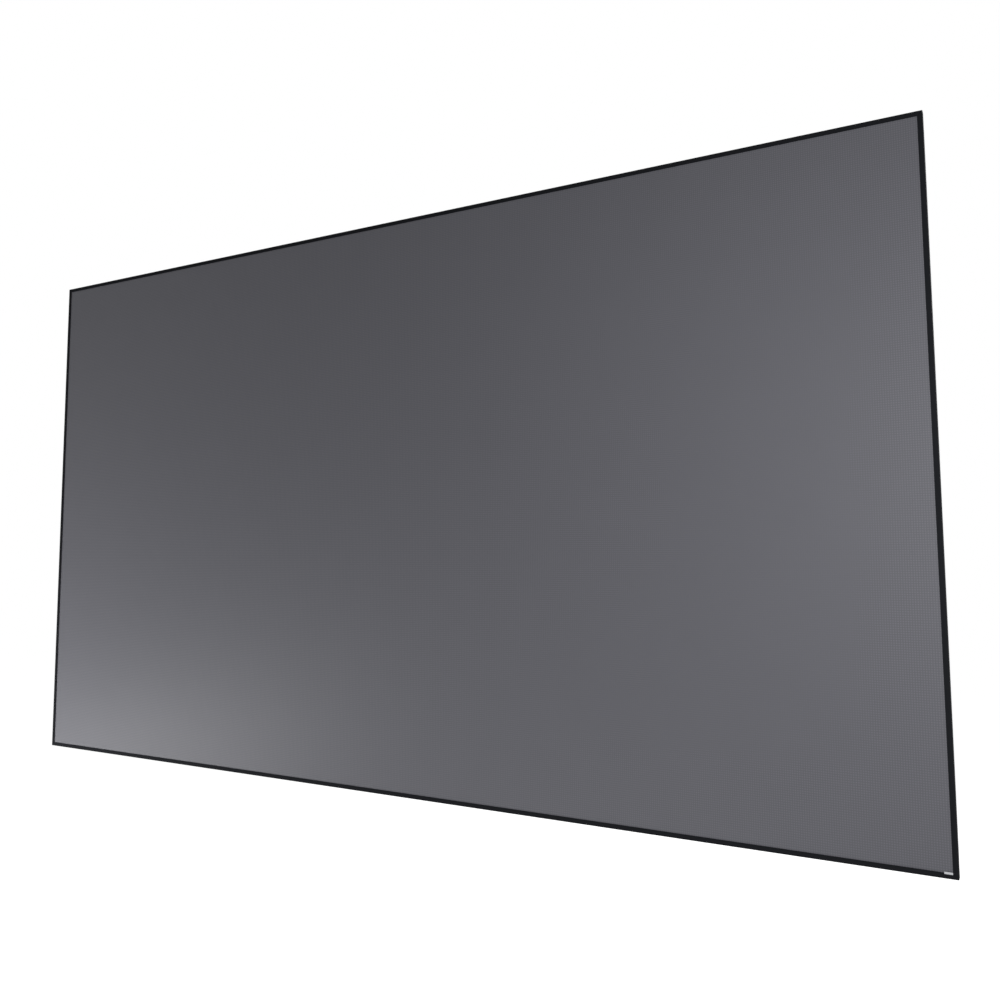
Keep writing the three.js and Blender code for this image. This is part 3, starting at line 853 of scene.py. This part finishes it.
@dataclass
class TensionRods:
    """Glass fibre rods in the hems, and the steel springs that hook them to the rib of the bars.

    Attributes:
        screen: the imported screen.
        rod_end: distance from a corner to the end of a rod.
        run_gap: gap between two rods where the runs meet.
        wire_mm: diameter of the spring wire.
        coil_mm: outer radius of the coil.
        coil_start_mm: u where the coil starts.
        coil_end_mm: u where it ends.
        turns: turns of the coil.
        hook_u_mm: u of the hook's downward leg.
        hook_drop_mm: how far the hook reaches down.
        hook_bend_mm: radius of the hook's bend.
        hook_inside_mm: how far the hook's wire runs into the coil.
        eye_lead_mm: points (u, v), from the start of the coil and the middle of the rod, that lead the eye
            into the coil.
        rod_round_mm: radius of the rod's rounded ends.
        wire_sides: faces round the wire.
        rod_sides: faces round the rod.
    """

    screen: Screen
    rod_end: float = 22 * MM
    run_gap: float = 0.3 * MM
    wire_mm: float = 1.2
    coil_mm: float = 3.0
    coil_start_mm: float = 14.0
    coil_end_mm: float = 27.0
    turns: int = 9
    hook_u_mm: float = 33.3
    hook_drop_mm: float = 2.6
    hook_bend_mm: float = 1.1
    hook_inside_mm: float = 1.2
    eye_lead_mm: tuple[tuple[float, float], ...] = ((-1.0, -0.8), (1.2, -0.4))
    rod_round_mm: float = 0.6
    wire_sides: int = 6
    rod_sides: int = 20

    def spring(self) -> Surface:
        """One spring at x = 0 in a side's frame, in metres.

        Returns:
            A helix (r cos a, u, r sin a) whose u grows evenly with a, an eye of three quarters of a circle
            round the rod that runs on to the coil, and a straight neck that bends down into the hook.
        """
        section = self.screen.section
        wire, middle = self.wire_mm / 2, self.coil_mm - self.wire_mm / 2
        rod_u, rod_v = section.rod_u_mm, section.rod_v_mm
        angle = np.linspace(0, 2 * np.pi * self.turns, 12 * self.turns + 1)
        reach = np.linspace(self.coil_start_mm + wire, self.coil_end_mm - wire, len(angle))
        coil = np.stack([middle * np.cos(angle), reach, rod_v + middle * np.sin(angle)], axis=-1)
        eye = arc_points((rod_u, rod_v), section.rod_mm + wire, 60, 290, 14)
        eye = np.concatenate([eye, np.array(self.eye_lead_mm) + (self.coil_start_mm, rod_v)])
        bend = self.hook_bend_mm
        hook = np.concatenate([
            [(self.coil_end_mm - self.hook_inside_mm, rod_v)],
            arc_points((self.hook_u_mm - bend, rod_v - bend), bend, 90, 0, 5),
            [(self.hook_u_mm, rod_v - self.hook_drop_mm)],
        ])
        flat = [np.insert(line, 0, 0.0, axis=1) for line in (eye, hook)]
        along_x, along_u = np.array([1.0, 0, 0]), np.array([0, 1.0, 0])
        sides = self.wire_sides
        parts = [tube(coil, wire, sides, along_u), *(tube(line, wire, sides, along_x) for line in flat)]
        whole = parts[0].joined(parts[1:])
        return Surface(whole.points * MM, whole.faces, whole.caps)

    def rod(self, start: float, stop: float) -> Surface:
        """A rod along x whose radius follows a quarter circle at each end.

        Args:
            start: x of its first end.
            stop: x of its other end.

        Returns:
            Rings of points. Near an end, for an angle a from 90 to 0 degrees and a rounding r, the distance
            from the end is r (1 - sin a) and the radius is that of the rod less r (1 - cos a).
        """
        section, count = self.screen.section, self.rod_sides
        radius, rounding = section.rod_mm * MM, self.rod_round_mm * MM
        bend = np.radians(np.linspace(90, 0, 4))
        inset = rounding * (1 - np.sin(bend))
        size = radius - rounding * (1 - np.cos(bend))
        along = np.concatenate([start + inset, stop - inset[::-1]])
        sizes = np.concatenate([size, size[::-1]])
        angle = np.arange(count) * 2 * np.pi / count
        u = section.rod_u_mm * MM + sizes[:, None] * np.cos(angle)
        v = section.rod_v_mm * MM + sizes[:, None] * np.sin(angle)
        points = np.stack([np.broadcast_to(along[:, None], u.shape), u, v], axis=-1)
        last = (len(along) - 1) * count
        caps = [list(range(count))[::-1], list(range(last, last + count))]
        return Surface(points.reshape(-1, 3), grid_faces(len(along), count, ring=True), caps)

    def build(self) -> None:
        """Makes a rod and its springs for every run of every side."""
        spring, steel = self.spring(), SPRING_WIRE.build()
        fibre = {True: FIBRE_ROD_LEVEL.build(), False: FIBRE_ROD_UPRIGHT.build()}
        for side in self.screen.sides:
            end, half_gap = side.half - self.rod_end, self.run_gap / 2
            spans = [(-end, end)] if len(side.runs) == 1 else [(-end, -half_gap), (half_gap, end)]
            for run, (start, stop) in zip(side.runs, spans):
                places = self.screen.springs_of(side)
                places = places[(places > start) & (places < stop)]
                copies = spring.repeated(np.stack([places, 0 * places, 0 * places], axis=-1))
                copies.points = side.place(copies.points)
                springs = make_object(f"springs_{run}", copies, [steel])
                bar = self.rod(start, stop)
                bar.points = side.place(bar.points)
                rod = make_object(f"fibre_rod_{run}", bar, [fibre[side.level]])
                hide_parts(f"tension_rod_{run}")
                for piece in (rod, springs):
                    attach(piece, BODY)
                LOG.info("rod %s with %d springs", run, len(places))


@dataclass
class ClampScrews:
    """Socket head screws that clamp the corner brackets and splice plates.

    Attributes:
        across_flats_mm: size of the hexagon socket.
        chamfer_mm: chamfer of the head and of the tip.
        head_mm: height of the head.
        shank_less_mm: how much smaller the shank's radius is than the head's.
        edge_mm: small chamfer under the head and at the mouth of the socket.
        rim_mm: width of the chamfer at the mouth of the socket.
        socket_mm: depth of the socket's walls.
        drill_mm: depth of the socket's middle.
        centre_mm: radius of the small faces that close the tip and the socket.
        sides: faces round the screw, a whole number of them to each flat of the hexagon.
    """

    across_flats_mm: float = 3.2
    chamfer_mm: float = 0.5
    head_mm: float = 2.6
    shank_less_mm: float = 2.0
    edge_mm: float = 0.2
    rim_mm: float = 0.25
    socket_mm: float = 1.5
    drill_mm: float = 1.7
    centre_mm: float = 0.01
    sides: int = 24

    def surface(self, low: Vector, high: Vector) -> Surface:
        """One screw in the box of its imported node.

        Args:
            low: lowest corner of the box.
            high: highest corner of the box.

        Returns:
            A profile of radius and depth turned about Y. Inside the socket the radius at angle a is that of
            a hexagon: half the size across flats over cos(a mod 60 - 30 degrees).
        """
        head = (high.x - low.x) / 2 / MM
        shank, socket = head - self.shank_less_mm, self.across_flats_mm / 2
        tip, top = low.y / MM, high.y / MM
        under, chamfer, edge = top - self.head_mm, self.chamfer_mm, self.edge_mm
        round_part = [
            (self.centre_mm, tip), (shank - chamfer, tip), (shank, tip + chamfer), (shank, under),
            (head - edge, under), (head, under + edge), (head, top - chamfer), (head - chamfer, top),
        ]
        socket_part = [
            (socket + self.rim_mm, top), (socket, top - edge), (socket, top - self.socket_mm),
            (self.centre_mm, top - self.drill_mm),
        ]
        radius, depth = np.array(round_part + socket_part).T
        degrees = np.arange(self.sides) * 360 / self.sides
        angle = np.radians(degrees)
        hexagon = 1 / np.cos(np.radians(np.mod(degrees, 60) - 30))
        in_socket = (np.arange(len(radius)) >= len(round_part))[:, None]
        spread = radius[:, None] * np.where(in_socket, hexagon[None], 1.0)
        middle = (low + high) / 2 / MM
        x = middle.x + spread * np.cos(angle)
        z = middle.z + spread * np.sin(angle)
        y = np.broadcast_to(depth[:, None], x.shape)
        points = np.stack([x, y, z], axis=-1).reshape(-1, 3) * MM
        last = (len(radius) - 1) * len(angle)
        caps = [list(range(len(angle))), list(range(last, last + len(angle)))[::-1]]
        return Surface(points, grid_faces(len(radius), len(angle), ring=True), caps)

    def build(self, nodes: Sequence[str]) -> None:
        """Makes one screw for each packed screw.

        Args:
            nodes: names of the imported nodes.
        """
        steel = BLACK_OXIDE.build()
        for node in nodes:
            name = node.replace("screw", "socket_screw")
            piece = make_object(name, self.surface(*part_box(node)), [steel], smooth_angle=30)
            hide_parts(node)
            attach(piece, BODY)
        LOG.info("%d socket screws", len(nodes))


@dataclass(frozen=True)
class Dress:
    """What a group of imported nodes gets.

    Attributes:
        finish: their finish.
        starts: what their names start with.
        edge_mm: radius of their rounded edges, or 0 to leave them as they are.
    """

    finish: Finish
    starts: tuple[str, ...]
    edge_mm: float = 0.0


DRESSES = (
    Dress(TRIM_LEVEL, ("bezel_trim_top", "bezel_trim_bottom"), 0.15),
    Dress(TRIM_UPRIGHT, ("bezel_trim_left", "bezel_trim_right"), 0.15),
    Dress(BAR_LEVEL, ("frame_bar_top", "frame_bar_bottom")),
    Dress(BAR_UPRIGHT, ("frame_bar_left", "frame_bar_right")),
    Dress(ZINC, ("corner_bracket", "splice_plate"), 0.3),
    Dress(ZINC, ("wall_bracket",), 0.5),
    Dress(MILL_TUBE, ("centre_support",), 0.3),
    Dress(NYLON, ("support_cap",), 0.6),
    Dress(RUBBER, ("wall_bumper",), 0.7),
    Dress(SILVER_PLATE, ("corner_badge",), 0.2),
)


@dataclass
class PackedMetalwork:
    """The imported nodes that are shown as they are.

    Attributes:
        nodes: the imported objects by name.
        bend_steps: steps in a rounded edge.
        sharp_from: angle of the edges that are rounded, in degrees.
    """

    nodes: dict[str, bpy.types.Object]
    bend_steps: int = 2
    sharp_from: float = 50.0

    def dress(self) -> None:
        """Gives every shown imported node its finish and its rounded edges."""
        for dress in DRESSES:
            material = dress.finish.build()
            names = [name for name in self.nodes if name.startswith(dress.starts)]
            for name in names:
                mesh = self.nodes[name].data
                mesh.materials.clear()
                mesh.materials.append(material)
                if dress.edge_mm:
                    self.round_edges(self.nodes[name], dress.edge_mm * MM)
            LOG.info("%s on %s", dress.finish.name, ", ".join(names))

    def round_edges(self, node: bpy.types.Object, width: float) -> None:
        """Rounds the sharp edges of a node by a bevel of this width."""
        bevel = node.modifiers.new("rounded_edges", "BEVEL")
        bevel.width = width
        bevel.segments = self.bend_steps
        bevel.limit_method = "ANGLE"
        bevel.angle_limit = math.radians(self.sharp_from)
        bevel.harden_normals = True


# Studio


@dataclass(frozen=True)
class Lamp:
    """A soft rectangular lamp.

    Attributes:
        name: the lamp's name.
        place: where it stands.
        aim: the point that it faces.
        size: its width and height.
        power: its power in watts.
    """

    name: str
    place: tuple[float, float, float]
    aim: tuple[float, float, float]
    size: tuple[float, float]
    power: float

    def build(self) -> bpy.types.Object:
        """Makes the lamp and turns it to face its aim. The camera doesn't see it."""
        data = bpy.data.lights.new(self.name, "AREA")
        data.shape = "RECTANGLE"
        data.size, data.size_y = self.size
        data.energy = self.power
        lamp = bpy.data.objects.new(self.name, data)
        bpy.context.scene.collection.objects.link(lamp)
        lamp.location = self.place
        lamp.rotation_euler = (Vector(self.aim) - Vector(self.place)).to_track_quat("-Z", "Y").to_euler()
        lamp.visible_camera = False
        return lamp


LAMPS = (
    Lamp("low_left", (-1.6, -0.9, -0.9), (-1.0, 0.0, -0.5), (1.0, 0.4), 14.5),
    Lamp("low_middle", (0.0, -1.3, -1.25), (0.0, 0.0, -0.3), (1.2, 0.4), 6.4),
    Lamp("right_low", (1.3, -1.0, -0.25), (1.0, 0.0, -0.25), (0.6, 0.6), 2.8),
    Lamp("right_high", (1.3, -1.0, 0.15), (1.0, 0.0, 0.15), (0.6, 0.6), 6.4),
    # These stand behind the cloth's plane, so they light the back and the edges, not the cloth's front
    Lamp("behind", (0.8, 3.2, 1.4), (0.0, 0.0, 0.0), (3.0, 2.0), 20.0),
    Lamp("edge_left", (-3.2, 1.2, 0.6), (-1.1, 0.0, 0.0), (1.5, 1.5), 24.0),
    Lamp("edge_right", (3.2, 1.2, 0.6), (1.1, 0.0, 0.0), (1.5, 1.5), 24.0),
    Lamp("edge_top", (0.0, 0.8, 2.4), (0.0, 0.0, 0.6), (2.4, 0.8), 22.0),
)


@dataclass
class Studio:
    """Pale floor, white surround, lamps and the camera.

    Attributes:
        drop: height of the screen's lower edge above the floor.
        floor_half: half the width of the floor.
        ambient: strength of the surround for light that falls on dull surfaces.
        floor_colour: colour of the floor.
        floor_lift: white that the camera sees on top of the lit floor, so that it meets the white surround
            and still shows the screen's shadow.
    """

    drop: float = 0.85
    floor_half: float = 20.0
    ambient: float = 0.18
    floor_colour: str = "#f2f2f2"
    floor_lift: float = 0.84

    @staticmethod
    def seen_directly(tree: bpy.types.NodeTree) -> bpy.types.NodeSocket:
        """1 for a ray from the camera, from a gloss or through glass, and 0 for any other."""
        path = add_node(tree, "ShaderNodeLightPath").outputs
        first = add_node(
            tree,
            "ShaderNodeMath",
            {"operation": "MAXIMUM"},
            links={0: path["Is Camera Ray"], 1: path["Is Glossy Ray"]},
        )
        both = add_node(
            tree,
            "ShaderNodeMath",
            {"operation": "MAXIMUM"},
            links={0: first.outputs[0], 1: path["Is Transmission Ray"]},
        )
        return both.outputs[0]

    def world(self) -> None:
        """A surround that is white to the camera and in gloss, and a soft grey light on dull surfaces."""
        world = bpy.data.worlds.new("white_surround")
        world.use_nodes = True
        tree = world.node_tree
        tree.nodes.clear()
        strength = add_node(
            tree,
            "ShaderNodeMapRange",
            values={"To Min": self.ambient, "To Max": 1.0},
            links={"Value": self.seen_directly(tree)},
        )
        background = add_node(
            tree,
            "ShaderNodeBackground",
            values={"Color": (1.0, 1.0, 1.0, 1.0)},
            links={"Strength": strength.outputs[0]},
        )
        add_node(tree, "ShaderNodeOutputWorld", links={"Surface": background.outputs[0]})
        bpy.context.scene.world = world

    def floor(self, level: float) -> None:
        """A large floor of painted board: dull white, with white added for what sees it directly."""
        material = bpy.data.materials.new("painted_white_floor")
        material.use_nodes = True
        tree = material.node_tree
        tree.nodes.clear()
        dull = add_node(tree, "ShaderNodeBsdfDiffuse", values={"Color": linear(self.floor_colour)})
        lift = add_node(
            tree,
            "ShaderNodeMath",
            {"operation": "MULTIPLY"},
            values={1: self.floor_lift},
            links={0: self.seen_directly(tree)},
        )
        glow = add_node(tree, "ShaderNodeEmission", links={"Strength": lift.outputs[0]})
        both = add_node(tree, "ShaderNodeAddShader", links={0: dull.outputs[0], 1: glow.outputs[0]})
        add_node(tree, "ShaderNodeOutputMaterial", links={"Surface": both.outputs[0]})
        half = self.floor_half
        corners = np.array([(-half, -half), (half, -half), (half, half), (-half, half)])
        points = np.insert(corners, 2, level, axis=1)
        floor = make_object("floor", Surface(points, np.array([[0, 1, 2, 3]])), [material])
        floor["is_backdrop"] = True

    def build(self, low: Vector) -> None:
        """Makes the surround, the floor and the lamps.

        Args:
            low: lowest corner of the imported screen.
        """
        self.world()
        self.floor(low.z - self.drop)
        for lamp in LAMPS:
            lamp.build()
        LOG.info("studio with %d lamps", len(LAMPS))


@dataclass(frozen=True)
class PhotoCamera:
    """The photograph's camera, found from the four corners of the picture.

    Attributes:
        place: its place from the middle of the picture on the front of the bezel.
        left: its turn to the left from straight at the screen, in degrees.
        up: its tilt upwards, in degrees.
        roll: its roll clockwise, in degrees.
        focal: focal length over the picture's width.
        centre_row: row of the optical centre in the picture.
        sensor_mm: width of the camera's sensor.
    """

    place: tuple[float, float, float] = (1.2685, -1.7243, -0.1091)
    left: float = 29.64
    up: float = 5.445
    roll: float = 0.276
    focal: float = 0.9642
    centre_row: float = 457.8
    sensor_mm: float = 36.0

    def build(self) -> None:
        """Makes the camera and makes it the scene's own."""
        data = bpy.data.cameras.new("camera")
        data.sensor_width = self.sensor_mm
        data.lens = self.focal * self.sensor_mm
        data.shift_y = (self.centre_row - PICTURE_ROWS / 2) / PICTURE_ROWS
        camera = bpy.data.objects.new("camera", data)
        bpy.context.scene.collection.objects.link(camera)
        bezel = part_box("bezel_trim_left")[0].y
        camera.location = Vector(self.place) + Vector((0.0, bezel, 0.0))
        turn = Euler((math.radians(90 + self.up), 0.0, math.radians(self.left)), "XYZ").to_matrix()
        spin = Euler((0.0, 0.0, math.radians(-self.roll)), "XYZ").to_matrix()
        camera.rotation_euler = (turn @ spin).to_euler()
        bpy.context.scene.camera = camera


def main() -> None:
    """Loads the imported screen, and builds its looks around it."""
    logging.basicConfig(level=logging.INFO, format="%(name)s: %(message)s")
    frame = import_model()
    packed_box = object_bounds()
    bpy.context.scene.view_settings.view_transform = "Standard"
    PhotoCamera().build()
    Studio().build(packed_box[0])
    screen = Screen.from_frame()
    PackedMetalwork(frame["nodes"]).dress()
    ProjectionCloth(screen).build()
    TensionRods(screen).build()
    ClampScrews().build(sorted(name for name in frame["nodes"] if "_screw_" in name))


if __name__ == "__main__":
    main()
